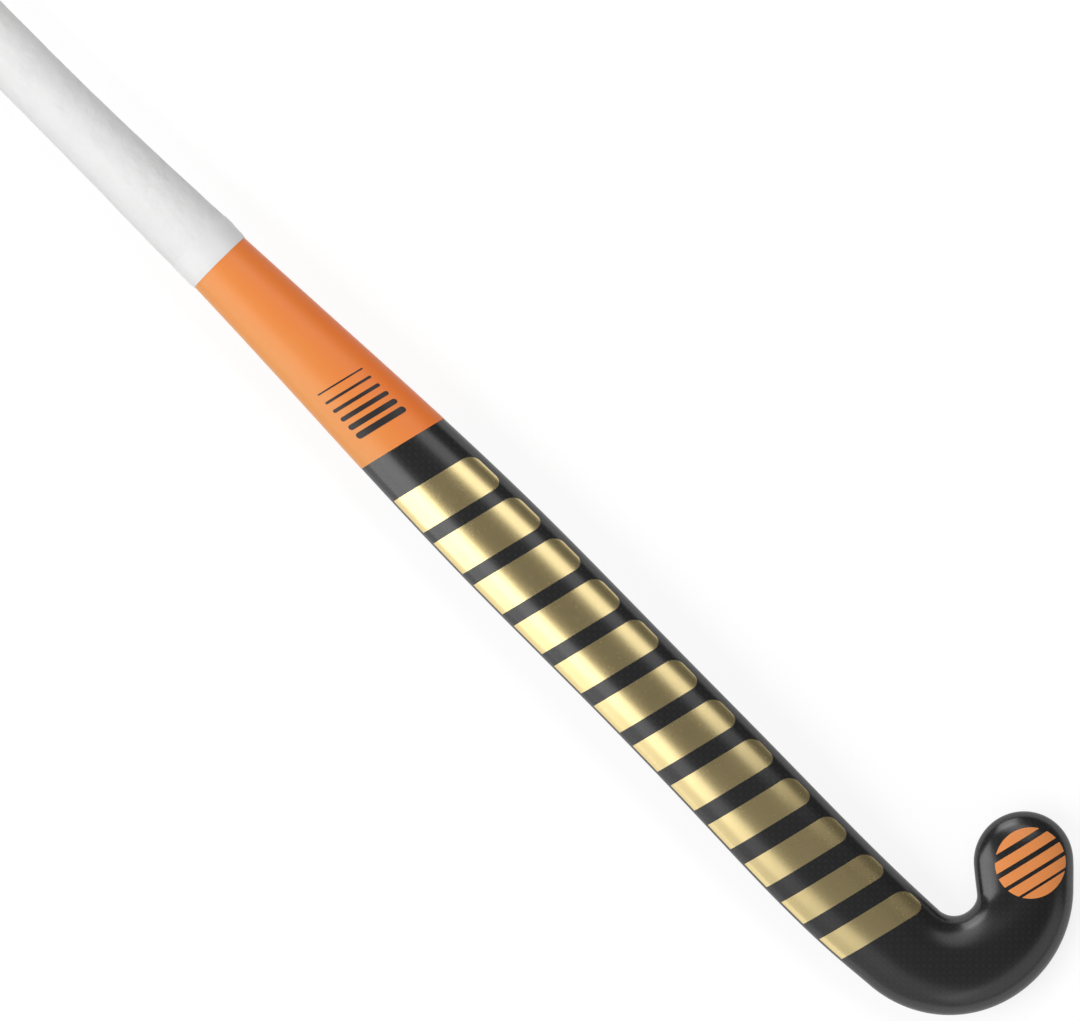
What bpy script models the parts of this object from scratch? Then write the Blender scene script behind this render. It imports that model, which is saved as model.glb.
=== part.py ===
"""Field hockey stick in composite, lying on its playing face.

+X points from the handle to the head, +Y to the toe side and +Z to the rounded back.
Units are metres. Places along the stick are given as the distance up from the base of the head;
round the hook the same distance runs on along the centre line and becomes negative.
"""

import math

import bpy
import bmesh

# Overall size
LENGTH = 0.927
GAP = 0.0003

# Bow of the shaft, deepest low down, with a plane face over the head
BOW_DEPTH = 0.024
BOW_FROM_BASE = 0.250
PLANE_FACE = 0.100

# Hook of the head: centre line radius, turn, straight toe and its end
HOOK_RADIUS = 0.0350
HOOK_TURN = math.radians(139.7)
TOE_LENGTH = 0.0134

# Width of the shell and the place of each width
HANDLE_WIDTH = 0.0270
HANDLE_ABOVE_GRIP_END = 0.126
GRIP_END_WIDTH = 0.0325
TAPER_WIDTH = 0.0379
TAPER_BELOW_GRIP = 0.060
SHAFT_WIDTH = 0.0480
SHAFT_FROM_BASE = 0.325
WAIST_WIDTH = 0.0478
WAIST_FROM_BASE = 0.240
LOWER_WIDTH = 0.0488
LOWER_FROM_BASE = 0.165
NECK_WIDTH = 0.0490
NECK_FROM_BASE = 0.0705
HOOK_WIDTH = 0.0483
HEEL_WIDTH = 0.0471
BASE_WIDTH = 0.0453
TOE_WIDTH = 0.0460
TIP_WIDTH = 0.0473

# How far the middle of the width stands off the centre line, to the toe side
HANDLE_OFFSET = -0.0021
GRIP_END_OFFSET = -0.0009
SHAFT_OFFSET = 0.0001
WAIST_OFFSET = 0.0
LOWER_OFFSET = -0.0008
NECK_OFFSET = -0.0006
HOOK_OFFSET = 0.0004
HEEL_OFFSET = 0.0017
BASE_OFFSET = 0.0024
TOE_OFFSET = 0.0017
TIP_OFFSET = 0.0015

# Thickness from the face to the top of the back
BUTT_THICKNESS = 0.0270
GRIP_END_THICKNESS = 0.0250
SHAFT_THICKNESS = 0.0235
NECK_THICKNESS = 0.0222
BASE_THICKNESS = 0.0207
TIP_THICKNESS = 0.0176

# Rounded edge beside the face: its width and its height
HANDLE_EDGE_WIDTH = 0.0095
HANDLE_EDGE_HEIGHT = 0.0125
SHAFT_EDGE_WIDTH = 0.0072
SHAFT_EDGE_HEIGHT = 0.0088
HEAD_EDGE_WIDTH = 0.0064
HEAD_EDGE_HEIGHT = 0.0074
TIP_EDGE_HEIGHT = 0.0064

# Fullness of the back: 2 is an ellipse, more is flatter on top
HANDLE_FULLNESS = 2.05
SHAFT_FULLNESS = 2.45
HEAD_FULLNESS = 2.30

# Laminate, inner tubes and fillings
WALL = 0.0022
TUBE_WALL = 0.0010
RIB_CORNER = 0.0012
CORE_FROM_BASE = 0.118
FOAM_LENGTH = 0.150

# Grip, finishing tape and end cap
GRIP_LENGTH = 0.4087
GRIP_THICKNESS = 0.0010
GRIP_EDGE = 0.0004
TAPE_THICKNESS = 0.0003
TAPE_ON_GRIP = 0.0110
TAPE_ON_SHAFT = 0.0030
TAPE_SLOPE = 0.0014
CAP_FLANGE = 0.0040
CAP_SPIGOT = 0.0180
CAP_ROUND = 0.0026

# Fineness of the surfaces
EDGE_STEPS = 4
BACK_STEPS = 8
SHAFT_STEP = 0.0125
HANDLE_STEP = 0.0460
TURN_STEPS = 28
TOE_STEPS = 2
TIP_STEPS = 16
CAP_STEPS = 4

# Places that follow from the sizes above
HOOK_FROM_BASE = HOOK_RADIUS + BASE_WIDTH / 2 - BASE_OFFSET
TURN_END = HOOK_FROM_BASE - HOOK_RADIUS * HOOK_TURN
TIP = TURN_END - TOE_LENGTH
HEEL = HOOK_FROM_BASE - HOOK_RADIUS * math.radians(45)
BASE = HOOK_FROM_BASE - HOOK_RADIUS * math.radians(100)
SHELL_END = LENGTH - CAP_FLANGE - GAP
GRIP_END = SHELL_END - GRIP_LENGTH
HANDLE_FROM_BASE = GRIP_END + HANDLE_ABOVE_GRIP_END
TAPER_FROM_BASE = GRIP_END - TAPER_BELOW_GRIP
TUBE_END = LENGTH - CAP_FLANGE - CAP_SPIGOT - GAP
TUBE_START = CORE_FROM_BASE + GAP
FOAM_START = TUBE_END - FOAM_LENGTH

WIDTHS = (
    (TIP, TIP_WIDTH),
    (TURN_END, TOE_WIDTH),
    (BASE, BASE_WIDTH),
    (HEEL, HEEL_WIDTH),
    (HOOK_FROM_BASE, HOOK_WIDTH),
    (NECK_FROM_BASE, NECK_WIDTH),
    (LOWER_FROM_BASE, LOWER_WIDTH),
    (WAIST_FROM_BASE, WAIST_WIDTH),
    (SHAFT_FROM_BASE, SHAFT_WIDTH),
    (TAPER_FROM_BASE, TAPER_WIDTH),
    (GRIP_END, GRIP_END_WIDTH),
    (HANDLE_FROM_BASE, HANDLE_WIDTH),
)
OFFSETS = (
    (TIP, TIP_OFFSET),
    (TURN_END, TOE_OFFSET),
    (BASE, BASE_OFFSET),
    (HEEL, HEEL_OFFSET),
    (HOOK_FROM_BASE, HOOK_OFFSET),
    (NECK_FROM_BASE, NECK_OFFSET),
    (LOWER_FROM_BASE, LOWER_OFFSET),
    (WAIST_FROM_BASE, WAIST_OFFSET),
    (SHAFT_FROM_BASE, SHAFT_OFFSET),
    (GRIP_END, GRIP_END_OFFSET),
    (HANDLE_FROM_BASE, HANDLE_OFFSET),
)
THICKNESSES = (
    (TIP, TIP_THICKNESS),
    (BASE, BASE_THICKNESS),
    (NECK_FROM_BASE, NECK_THICKNESS),
    (SHAFT_FROM_BASE, SHAFT_THICKNESS),
    (GRIP_END, GRIP_END_THICKNESS),
    (LENGTH, BUTT_THICKNESS),
)
EDGE_WIDTHS = (
    (BASE, HEAD_EDGE_WIDTH),
    (SHAFT_FROM_BASE, SHAFT_EDGE_WIDTH),
    (HANDLE_FROM_BASE, HANDLE_EDGE_WIDTH),
)
EDGE_HEIGHTS = (
    (TIP, TIP_EDGE_HEIGHT),
    (BASE, HEAD_EDGE_HEIGHT),
    (SHAFT_FROM_BASE, SHAFT_EDGE_HEIGHT),
    (HANDLE_FROM_BASE, HANDLE_EDGE_HEIGHT),
)
FULLNESSES = (
    (BASE, HEAD_FULLNESS),
    (SHAFT_FROM_BASE, SHAFT_FULLNESS),
    (HANDLE_FROM_BASE, HANDLE_FULLNESS),
)


def smooth(table):
    """Curve through a table of places and values, bending evenly and level at both ends."""
    places_at = [row[0] for row in table]
    values = [row[1] for row in table]
    count = len(table)
    steps = [b - a for a, b in zip(places_at, places_at[1:])]
    slopes = [0.0] + [(b - a) / h for a, b, h in zip(values, values[1:], steps)] + [0.0]
    steps_round = [0.0] + steps + [0.0]
    ratio = [0.0] * count
    bends = [0.0] * count
    for i in range(count):
        before = steps_round[i]
        after = steps_round[i + 1]
        pivot = 2 * (before + after) - before * (ratio[i - 1] if i else 0.0)
        ratio[i] = after / pivot
        load = 6 * (slopes[i + 1] - slopes[i]) - before * (bends[i - 1] if i else 0.0)
        bends[i] = load / pivot
    for i in range(count - 2, -1, -1):
        bends[i] -= ratio[i] * bends[i + 1]

    def value(place):
        place = min(max(place, places_at[0]), places_at[-1])
        i = 0
        while i < count - 2 and place > places_at[i + 1]:
            i += 1
        h = steps[i]
        far = (place - places_at[i]) / h
        near = 1 - far
        curl = (near ** 3 - near) * bends[i] + (far ** 3 - far) * bends[i + 1]
        return near * values[i] + far * values[i + 1] + curl * h * h / 6

    return value


width_at = smooth(WIDTHS)
offset_at = smooth(OFFSETS)
thickness_at = smooth(THICKNESSES)
edge_width_at = smooth(EDGE_WIDTHS)
edge_height_at = smooth(EDGE_HEIGHTS)
fullness_at = smooth(FULLNESSES)


def bow(height):
    """Rise of the face at a height above the base of the head, with the butt down on its grip."""
    rate = BOW_DEPTH / (BOW_FROM_BASE ** 2 - PLANE_FACE ** 2)
    slope = 2 * rate * (BOW_FROM_BASE - PLANE_FACE)
    if height < PLANE_FACE:
        return slope * height
    if height < BOW_FROM_BASE:
        return BOW_DEPTH - rate * (BOW_FROM_BASE - height) ** 2
    at_butt = slope * HEAD_EDGE_WIDTH + GAP + GRIP_THICKNESS
    run = (height - BOW_FROM_BASE) / (LENGTH - BOW_FROM_BASE)
    return BOW_DEPTH - (BOW_DEPTH - at_butt) * run ** 2


def spine(place):
    """Point on the centre line and the direction across it, towards the inside of the hook."""
    turn = (HOOK_FROM_BASE - place) / HOOK_RADIUS
    if turn <= 0:
        return (-place, 0.0), (0.0, 1.0)
    past = max(0.0, turn - HOOK_TURN) * HOOK_RADIUS
    turn = min(turn, HOOK_TURN)
    across = (-math.sin(turn), math.cos(turn))
    x = -HOOK_FROM_BASE + HOOK_RADIUS * math.sin(turn) + past * math.cos(turn)
    y = HOOK_RADIUS - HOOK_RADIUS * math.cos(turn) + past * math.sin(turn)
    return (x, y), across


def half_section(place):
    """Half of the cross section, from the middle of the face round to the top of the back."""
    half = width_at(place) / 2
    thickness = thickness_at(place)
    edge_width = edge_width_at(place)
    edge_height = edge_height_at(place)
    power = 2 / fullness_at(place)
    points = [(0.0, 0.0)]
    for i in range(EDGE_STEPS + 1):
        angle = math.pi / 2 * i / EDGE_STEPS
        across = half - edge_width + edge_width * math.sin(angle)
        points.append((across, edge_height - edge_height * math.cos(angle)))
    for i in range(1, BACK_STEPS):
        angle = math.pi / 2 * i / BACK_STEPS
        across = half * math.cos(angle) ** power
        points.append((across, edge_height + (thickness - edge_height) * math.sin(angle) ** power))
    points.append((0.0, thickness))
    return points


def inset(points, depth):
    """Closed outline moved inwards by a depth, or outwards by a negative one."""
    moved = []
    for i, (x, y) in enumerate(points):
        x0, y0 = points[i - 1]
        x1, y1 = points[(i + 1) % len(points)]
        before = math.hypot(x - x0, y - y0)
        after = math.hypot(x1 - x, y1 - y)
        n0 = (-(y - y0) / before, (x - x0) / before)
        n1 = (-(y1 - y) / after, (x1 - x) / after)
        share = 1 + n0[0] * n1[0] + n0[1] * n1[1]
        moved.append((x + depth * (n0[0] + n1[0]) / share, y + depth * (n0[1] + n1[1]) / share))
    return moved


def section(place, depth):
    """Whole cross section at a depth under the shell's surface."""
    right = half_section(place)
    left = [(-x, z) for x, z in reversed(right[1:-1])]
    return inset(right + left, depth)


def tube_section(place, side, depth):
    """Cross section of one inner tube, or of what lies at a depth under the tube's surface."""
    count = EDGE_STEPS + BACK_STEPS + 2
    bore = section(place, WALL + GAP)[:count]
    foot = bore[0][1]
    top = bore[-1][1]
    rib = GAP / 2
    outline = [(rib, foot + RIB_CORNER), (rib + RIB_CORNER, foot)]
    outline += bore[1:-1]
    outline += [(rib + RIB_CORNER, top), (rib, top - RIB_CORNER)]
    inner = inset(outline, depth)
    if side < 0:
        inner = [(-x, z) for x, z in reversed(inner)]
    return inner


def ring(place, outline):
    """Outline set across the centre line at a place."""
    (x, y), (ax, ay) = spine(place)
    middle = offset_at(place)
    return [(x + ax * (middle + a), y + ay * (middle + a), z) for a, z in outline]


def places(start, end, keep_every=1):
    """Places of the rings between two ends, on one shared grid."""
    marks = []
    for i in range(TOE_STEPS):
        marks.append(TIP + TOE_LENGTH * i / TOE_STEPS)
    for i in range(TURN_STEPS):
        marks.append(TURN_END + HOOK_RADIUS * HOOK_TURN * i / TURN_STEPS)
    count = math.ceil((GRIP_END - HOOK_FROM_BASE) / SHAFT_STEP)
    for i in range(count):
        marks.append(HOOK_FROM_BASE + (GRIP_END - HOOK_FROM_BASE) * i / count)
    count = math.ceil((LENGTH - GRIP_END) / HANDLE_STEP)
    for i in range(count + 1):
        marks.append(GRIP_END + (LENGTH - GRIP_END) * i / count)
    clear = SHAFT_STEP / 8
    inside = [m for i, m in enumerate(marks) if i % keep_every == 0 and start + clear < m < end - clear]
    return [start] + inside + [end]


def add_rings(bm, rings):
    """Rings of points in the mesh, skinned one to the next."""
    made = [[bm.verts.new(point) for point in outline] for outline in rings]
    for one, two in zip(made, made[1:]):
        join_rings(bm, one, two)
    return made


def join_rings(bm, one, two):
    """Band of faces between two rings of as many points."""
    count = len(one)
    for i in range(count):
        j = (i + 1) % count
        bm.faces.new((one[i], one[j], two[j], two[i]))


def add_tip(bm, last_ring):
    """Round end of the toe: half of the last section spun about its upright middle line."""
    count = EDGE_STEPS + BACK_STEPS + 2
    centre = ring(TIP, [(0.0, 0.0)])[0]
    profile = last_ring[:count]
    edges = []
    for one, two in zip(profile, profile[1:]):
        edges.append(bm.edges.get((one, two)) or bm.edges.new((one, two)))
    bmesh.ops.spin(
        bm,
        geom=profile + edges,
        cent=centre,
        axis=(0, 0, 1),
        angle=-math.pi,
        steps=TIP_STEPS,
        use_merge=False,
        use_duplicate=False,
    )
    bmesh.ops.remove_doubles(bm, verts=bm.verts, dist=1e-6)


def finish(name, bm, material, parent):
    """Bow the mesh, turn its faces out and put it in the scene under its own name."""
    for vert in bm.verts:
        vert.co.z += bow(-vert.co.x)
    bmesh.ops.recalc_face_normals(bm, faces=bm.faces)
    mesh = bpy.data.meshes.new(name)
    bm.to_mesh(mesh)
    bm.free()
    mesh.materials.append(material)
    obj = bpy.data.objects.new(name, mesh)
    obj.parent = parent
    bpy.context.scene.collection.objects.link(obj)
    return obj


def make_material(name, colour, roughness, metallic=0.0):
    """Plain surface of one colour."""
    material = bpy.data.materials.new(name)
    material.use_nodes = True
    shader = material.node_tree.nodes["Principled BSDF"]
    shader.inputs["Base Color"].default_value = (*colour, 1.0)
    shader.inputs["Roughness"].default_value = roughness
    shader.inputs["Metallic"].default_value = metallic
    material.diffuse_color = (*colour, 1.0)
    return material


def make_shell(parent, material):
    """Hollow moulding from the butt to the toe, open at the butt."""
    bm = bmesh.new()
    outside = add_rings(bm, [ring(p, section(p, 0.0)) for p in places(TIP, SHELL_END)])
    inside = add_rings(bm, [ring(p, section(p, WALL)) for p in places(TIP, SHELL_END, 2)])
    join_rings(bm, outside[-1], inside[-1])
    add_tip(bm, outside[0])
    add_tip(bm, inside[0])
    finish("composite_shell", bm, material, parent)


def make_core(parent, material):
    """Filling of the head, up to the ends of the tubes."""
    bm = bmesh.new()
    depth = WALL + GAP
    rings = add_rings(bm, [ring(p, section(p, depth)) for p in places(TIP, CORE_FROM_BASE, 2)])
    bm.faces.new(rings[-1])
    add_tip(bm, rings[0])
    finish("head_core", bm, material, parent)


def make_tube(name, side, parent, material):
    """One of the twin inner tubes, open at both ends."""
    bm = bmesh.new()
    marks = places(TUBE_START, TUBE_END, 2)
    outside = add_rings(bm, [ring(p, tube_section(p, side, 0.0)) for p in marks])
    inside = add_rings(bm, [ring(p, tube_section(p, side, TUBE_WALL)) for p in marks])
    join_rings(bm, outside[0], inside[0])
    join_rings(bm, outside[-1], inside[-1])
    finish(name, bm, material, parent)


def make_foam(name, side, parent, material):
    """Damping plug in the upper end of a tube."""
    bm = bmesh.new()
    depth = TUBE_WALL + GAP
    rings = add_rings(bm, [ring(p, tube_section(p, side, depth)) for p in places(FOAM_START, TUBE_END, 2)])
    bm.faces.new(rings[0])
    bm.faces.new(rings[-1])
    finish(name, bm, material, parent)


def make_grip(parent, material):
    """Wrap round the handle, eased at its lower end and square against the end cap."""
    bm = bmesh.new()
    low = GAP
    high = GAP + GRIP_THICKNESS
    marks = places(GRIP_END, SHELL_END)
    outer = [ring(GRIP_END, section(GRIP_END, GRIP_EDGE - high))]
    outer += [ring(p, section(p, -high)) for p in [GRIP_END + GRIP_EDGE] + marks[1:]]
    outside = add_rings(bm, outer)
    inside = add_rings(bm, [ring(p, section(p, -low)) for p in marks])
    join_rings(bm, outside[0], inside[0])
    join_rings(bm, outside[-1], inside[-1])
    finish("grip_wrap", bm, material, parent)


def make_tape(parent, material):
    """Band over the end of the grip, drawn down onto the shaft."""
    bm = bmesh.new()
    on_shaft = GAP
    on_grip = 2 * GAP + GRIP_THICKNESS
    steps = (
        (GRIP_END - TAPE_ON_SHAFT, on_shaft),
        (GRIP_END - GAP - TAPE_SLOPE, on_shaft),
        (GRIP_END - GAP, on_grip),
        (GRIP_END + TAPE_ON_GRIP, on_grip),
    )
    inside = add_rings(bm, [ring(p, section(p, -out)) for p, out in steps])
    outside = add_rings(bm, [ring(p, section(p, -out - TAPE_THICKNESS)) for p, out in steps])
    join_rings(bm, outside[0], inside[0])
    join_rings(bm, outside[-1], inside[-1])
    finish("finishing_tape", bm, material, parent)


def make_cap(parent, material):
    """Plug with a flange over the end of the shell and the grip."""
    bm = bmesh.new()
    flange = -(GAP + GRIP_THICKNESS)
    steps = [
        (LENGTH - CAP_FLANGE - CAP_SPIGOT, WALL + GAP),
        (LENGTH - CAP_FLANGE, WALL + GAP),
        (LENGTH - CAP_FLANGE, flange),
    ]
    for i in range(CAP_STEPS + 1):
        angle = math.pi / 2 * i / CAP_STEPS
        back = CAP_ROUND * (1 - math.sin(angle))
        steps.append((LENGTH - back, flange + CAP_ROUND * (1 - math.cos(angle))))
    rings = add_rings(bm, [ring(p, section(p, depth)) for p, depth in steps])
    bm.faces.new(rings[0])
    bm.faces.new(rings[-1])
    finish("end_cap", bm, material, parent)


def main():
    """Clear the scene and build every piece under one empty."""
    for obj in list(bpy.data.objects):
        bpy.data.objects.remove(obj, do_unlink=True)

    carbon = make_material("carbon_laminate", (0.028, 0.028, 0.030), 0.34)
    glass = make_material("inner_laminate", (0.060, 0.060, 0.062), 0.55)
    filling = make_material("core_filling", (0.34, 0.30, 0.22), 0.80)
    foam = make_material("handle_foam", (0.62, 0.58, 0.48), 0.90)
    white = make_material("white_grip", (0.80, 0.80, 0.79), 0.62)
    tape = make_material("white_tape", (0.82, 0.82, 0.81), 0.45)
    rubber = make_material("cap_rubber", (0.030, 0.030, 0.032), 0.60)

    stick = bpy.data.objects.new("field_hockey_stick", None)
    bpy.context.scene.collection.objects.link(stick)
    make_shell(stick, carbon)
    make_core(stick, filling)
    make_tube("toe_side_tube", 1, stick, glass)
    make_tube("heel_side_tube", -1, stick, glass)
    make_foam("toe_side_foam", 1, stick, foam)
    make_foam("heel_side_foam", -1, stick, foam)
    make_cap(stick, rubber)
    make_grip(stick, white)
    make_tape(stick, tape)

    points = [vert.co for obj in stick.children for vert in obj.data.vertices]
    low = [min(point[i] for point in points) for i in range(3)]
    high = [max(point[i] for point in points) for i in range(3)]
    stick.location = (-(low[0] + high[0]) / 2, -(low[1] + high[1]) / 2, -low[2])


main()
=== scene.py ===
"""Looks of a composite field hockey stick that lies on its playing face, back up.

+X points from the handle to the head, +Y to the toe side and +Z to the rounded back. Units are
metres. Places along the stick are given as the distance up from the base of the head; round the
hook the same distance runs on along the centre line and becomes negative. The outer surface follows
the same sizes and curves as the solid model, at a finer step, and paint and foil lie on it as thin
closed films.
"""

import math

import bmesh
import bpy
import numpy as np
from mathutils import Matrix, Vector


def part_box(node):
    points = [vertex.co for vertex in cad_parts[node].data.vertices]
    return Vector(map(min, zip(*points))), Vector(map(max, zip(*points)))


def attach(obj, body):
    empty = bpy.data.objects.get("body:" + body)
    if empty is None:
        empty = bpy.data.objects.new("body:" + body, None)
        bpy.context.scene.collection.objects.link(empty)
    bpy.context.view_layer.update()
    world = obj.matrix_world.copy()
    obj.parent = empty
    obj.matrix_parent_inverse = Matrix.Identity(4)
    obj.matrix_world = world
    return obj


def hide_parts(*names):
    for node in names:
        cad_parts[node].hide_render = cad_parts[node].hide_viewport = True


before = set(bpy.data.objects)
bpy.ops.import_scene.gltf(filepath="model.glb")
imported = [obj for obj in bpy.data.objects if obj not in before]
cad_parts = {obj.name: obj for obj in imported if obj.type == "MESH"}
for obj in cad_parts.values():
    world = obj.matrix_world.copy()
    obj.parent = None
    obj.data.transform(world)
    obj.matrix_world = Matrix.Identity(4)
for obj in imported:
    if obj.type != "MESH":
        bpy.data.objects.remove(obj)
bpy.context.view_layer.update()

# Sizes of the solid model
LENGTH = 0.927
GAP = 0.0003
BOW_DEPTH = 0.024
BOW_FROM_BASE = 0.250
PLANE_FACE = 0.100
HOOK_RADIUS = 0.0350
HOOK_TURN = math.radians(139.7)
TOE_LENGTH = 0.0134
HEEL_TURN = math.radians(45)
BASE_TURN = math.radians(100)
HANDLE_WIDTH = 0.0270
HANDLE_ABOVE_GRIP_END = 0.126
TAPER_BELOW_GRIP = 0.060
SHAFT_FROM_BASE = 0.325
WAIST_FROM_BASE = 0.240
LOWER_FROM_BASE = 0.165
NECK_FROM_BASE = 0.0705
BASE_WIDTH = 0.0453
BASE_OFFSET = 0.0024
HANDLE_OFFSET = -0.0021
HEAD_EDGE_WIDTH = 0.0064
WALL = 0.0022
GRIP_LENGTH = 0.4087
GRIP_THICKNESS = 0.0010
TAPE_ON_GRIP = 0.0110
TAPE_ON_SHAFT = 0.0030
CAP_FLANGE = 0.0040
CAP_SPIGOT = 0.0180
CAP_ROUND = 0.0026

# Places that follow from the sizes
HOOK_FROM_BASE = HOOK_RADIUS + BASE_WIDTH / 2 - BASE_OFFSET
TURN_END = HOOK_FROM_BASE - HOOK_RADIUS * HOOK_TURN
TIP = TURN_END - TOE_LENGTH
HEEL = HOOK_FROM_BASE - HOOK_RADIUS * HEEL_TURN
BASE = HOOK_FROM_BASE - HOOK_RADIUS * BASE_TURN
SHELL_END = LENGTH - CAP_FLANGE - GAP
GRIP_END = SHELL_END - GRIP_LENGTH
HANDLE_FROM_BASE = GRIP_END + HANDLE_ABOVE_GRIP_END
TAPER_FROM_BASE = GRIP_END - TAPER_BELOW_GRIP

WIDTHS = (
    (TIP, 0.0473),
    (TURN_END, 0.0460),
    (BASE, BASE_WIDTH),
    (HEEL, 0.0471),
    (HOOK_FROM_BASE, 0.0483),
    (NECK_FROM_BASE, 0.0490),
    (LOWER_FROM_BASE, 0.0488),
    (WAIST_FROM_BASE, 0.0478),
    (SHAFT_FROM_BASE, 0.0480),
    (TAPER_FROM_BASE, 0.0379),
    (GRIP_END, 0.0325),
    (HANDLE_FROM_BASE, HANDLE_WIDTH),
)
OFFSETS = (
    (TIP, 0.0015),
    (TURN_END, 0.0017),
    (BASE, BASE_OFFSET),
    (HEEL, 0.0017),
    (HOOK_FROM_BASE, 0.0004),
    (NECK_FROM_BASE, -0.0006),
    (LOWER_FROM_BASE, -0.0008),
    (WAIST_FROM_BASE, 0.0),
    (SHAFT_FROM_BASE, 0.0001),
    (GRIP_END, -0.0009),
    (HANDLE_FROM_BASE, HANDLE_OFFSET),
)
THICKNESSES = (
    (TIP, 0.0176),
    (BASE, 0.0207),
    (NECK_FROM_BASE, 0.0222),
    (SHAFT_FROM_BASE, 0.0235),
    (GRIP_END, 0.0250),
    (LENGTH, 0.0270),
)
EDGE_WIDTHS = (
    (BASE, HEAD_EDGE_WIDTH),
    (SHAFT_FROM_BASE, 0.0072),
    (HANDLE_FROM_BASE, 0.0095),
)
EDGE_HEIGHTS = (
    (TIP, 0.0064),
    (BASE, 0.0074),
    (SHAFT_FROM_BASE, 0.0088),
    (HANDLE_FROM_BASE, 0.0125),
)
FULLNESSES = (
    (BASE, 2.30),
    (SHAFT_FROM_BASE, 2.45),
    (HANDLE_FROM_BASE, 2.05),
)

# Fineness of the surfaces
TOE_STEP = 0.0012
TURN_STEP = 0.0015
SHAFT_STEP = 0.0030
HANDLE_STEP = 0.0200
GRIP_STEP = 0.0015
GRIP_END_STEP = 0.0008
TAPE_STEP = 0.0006
FILM_STEP = 0.0012
FACE_STEPS = 5
EDGE_STEPS = 9
BACK_STEPS = 27
TIP_STEPS = 56
ROUND_STEPS = 8
INSIDE_EVERY = 4
SLANT_ROUNDS = 4
STEP_SLACK = 1e-9
PLACE_DIGITS = 9
SHARP_ANGLE = math.radians(40)

# Small steps, along and round the shell, by which the directions of its surface are found
PROBE = 1e-5
SHARE_PROBE = 1e-4
LEAST_AREA = 1e-12

# Average section of the back, along which the points of a ring are spread evenly
AVERAGE_HALF_WIDTH = 0.024
AVERAGE_RISE = 0.0145
AVERAGE_POWER = 2 / 2.4
SPREAD_SAMPLES = 2000

# Films of paint and foil: foot and top above the shell
FILM_FOOT = 0.00005
FILM_TOP = 0.00012
OVER_FILM = 0.00010

# Orange band: its slanted lower border and how far it runs under the tape
SLANT = 0.239
BAND_FROM_BASE = 0.390
BAND_UNDER_TAPE = 0.004

# Gold bars, from the handle to the head
BAR_COUNT = 12
BARS_FROM_BASE = 0.3685
BARS_TO_BASE = 0.0665
FIRST_BAR = 0.0205
LAST_BAR = 0.0140
BAR_TOE_END = 0.87
BAR_HEEL_END = -0.955
BAR_CORNER = 0.0050
SPACE_GROWTH = 1.5

# Dark dashes on the orange band
DASH_COUNT = 6
DASHES_FROM_BASE = 0.4040
DASH_PITCH = 0.0054
FIRST_DASH = 0.0034
LAST_DASH = 0.0008
DASH_REACH = 0.60
DASH_ROUND = 0.45

# Round mark on the toe, made of parallel bars
MARK_CENTRE = (-0.0415, 0.0708)
MARK_RADIUS = 0.0168
MARK_BARS = 5
MARK_SLIT = 0.0013
MARK_GROWTH = 0.0006
MARK_ROWS = 15
MARK_COLUMNS = 31
MARK_LEAST = MARK_RADIUS / 60

# Wrap: its faint laps, and how its end eases down, sooner on the toe side
LAP_PITCH = 0.026
LAP_RISE = 0.00009
LAP_POWER = 0.6
LAP_MIDDLE = 0.6
WRAP_END_HEIGHT = 0.0006
WRAP_END_RUN = 0.012
EASE_BEFORE = 0.001
HEEL_EASE = 0.032
TOE_EASE = 0.010

# Tape: height of its underside on the shaft and over the wrap, and its thickness
TAPE_FOOT = 0.00022
TAPE_OVER_WRAP = 0.00006
TAPE_FILM = 0.00016

# Cap: the flange's narrow slope, and the end's ring as distances in from the rounding and depths
CAP_SLOPE = 0.0004
CAP_RING = ((0.0016, 0.0), (0.0019, 0.0003), (0.0029, 0.0003), (0.0032, 0.0))

# Carbon cloth: width of a tow, how far it falls along and across itself, and its fibres
TOW = 0.0022
FALL_ALONG = -1.1
FALL_ACROSS = -2.9
FIBRES = 16.0
FIBRE_SCALE = 0.9

# Colours, as red, green and blue, with an alpha where they go straight to a socket
# Carbon tows: the lying tows are lighter than the crossing ones as a painted sheen of the light
# from the heel side, and the gap colour is painted shade between the tows
LIT_LYING_TOW = (0.0172, 0.0172, 0.0182)
SHADED_CROSSING_TOW = (0.0128, 0.0128, 0.0135)
SHADED_TOW_GAP = (0.0080, 0.0080, 0.0086)
DARK_GOLD = (0.80, 0.640, 0.310)
LIGHT_GOLD = (0.86, 0.700, 0.355)
GOLD_RIM = (0.45, 0.43, 0.40, 1)
DARK_WRAP = (0.770, 0.771, 0.768)
LIGHT_WRAP = (0.825, 0.826, 0.822)
DARK_TAPE = (0.780, 0.781, 0.778)
LIGHT_TAPE = (0.828, 0.829, 0.826)
FLOOR_GREY = (0.30, 0.30, 0.30, 1)
WHITE = (1, 1, 1, 1)

# Paints: colours on the heel side and on the toe side, and half the width over which they blend;
# the orange band's lighter, yellower heel side is a painted sheen and its redder toe side is
# painted shade
ORANGE_PAINT_WITH_PAINTED_SHADE = ((0.810, 0.320, 0.082), (0.925, 0.212, 0.038), 0.018)
BLACK_PAINT = ((0.022, 0.018, 0.018), (0.028, 0.024, 0.024), 0.018)
ORANGE_INK = ((0.95, 0.310, 0.085), (0.95, 0.330, 0.095), 0.060)
PAINT_CLOUDING = 0.25

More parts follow.
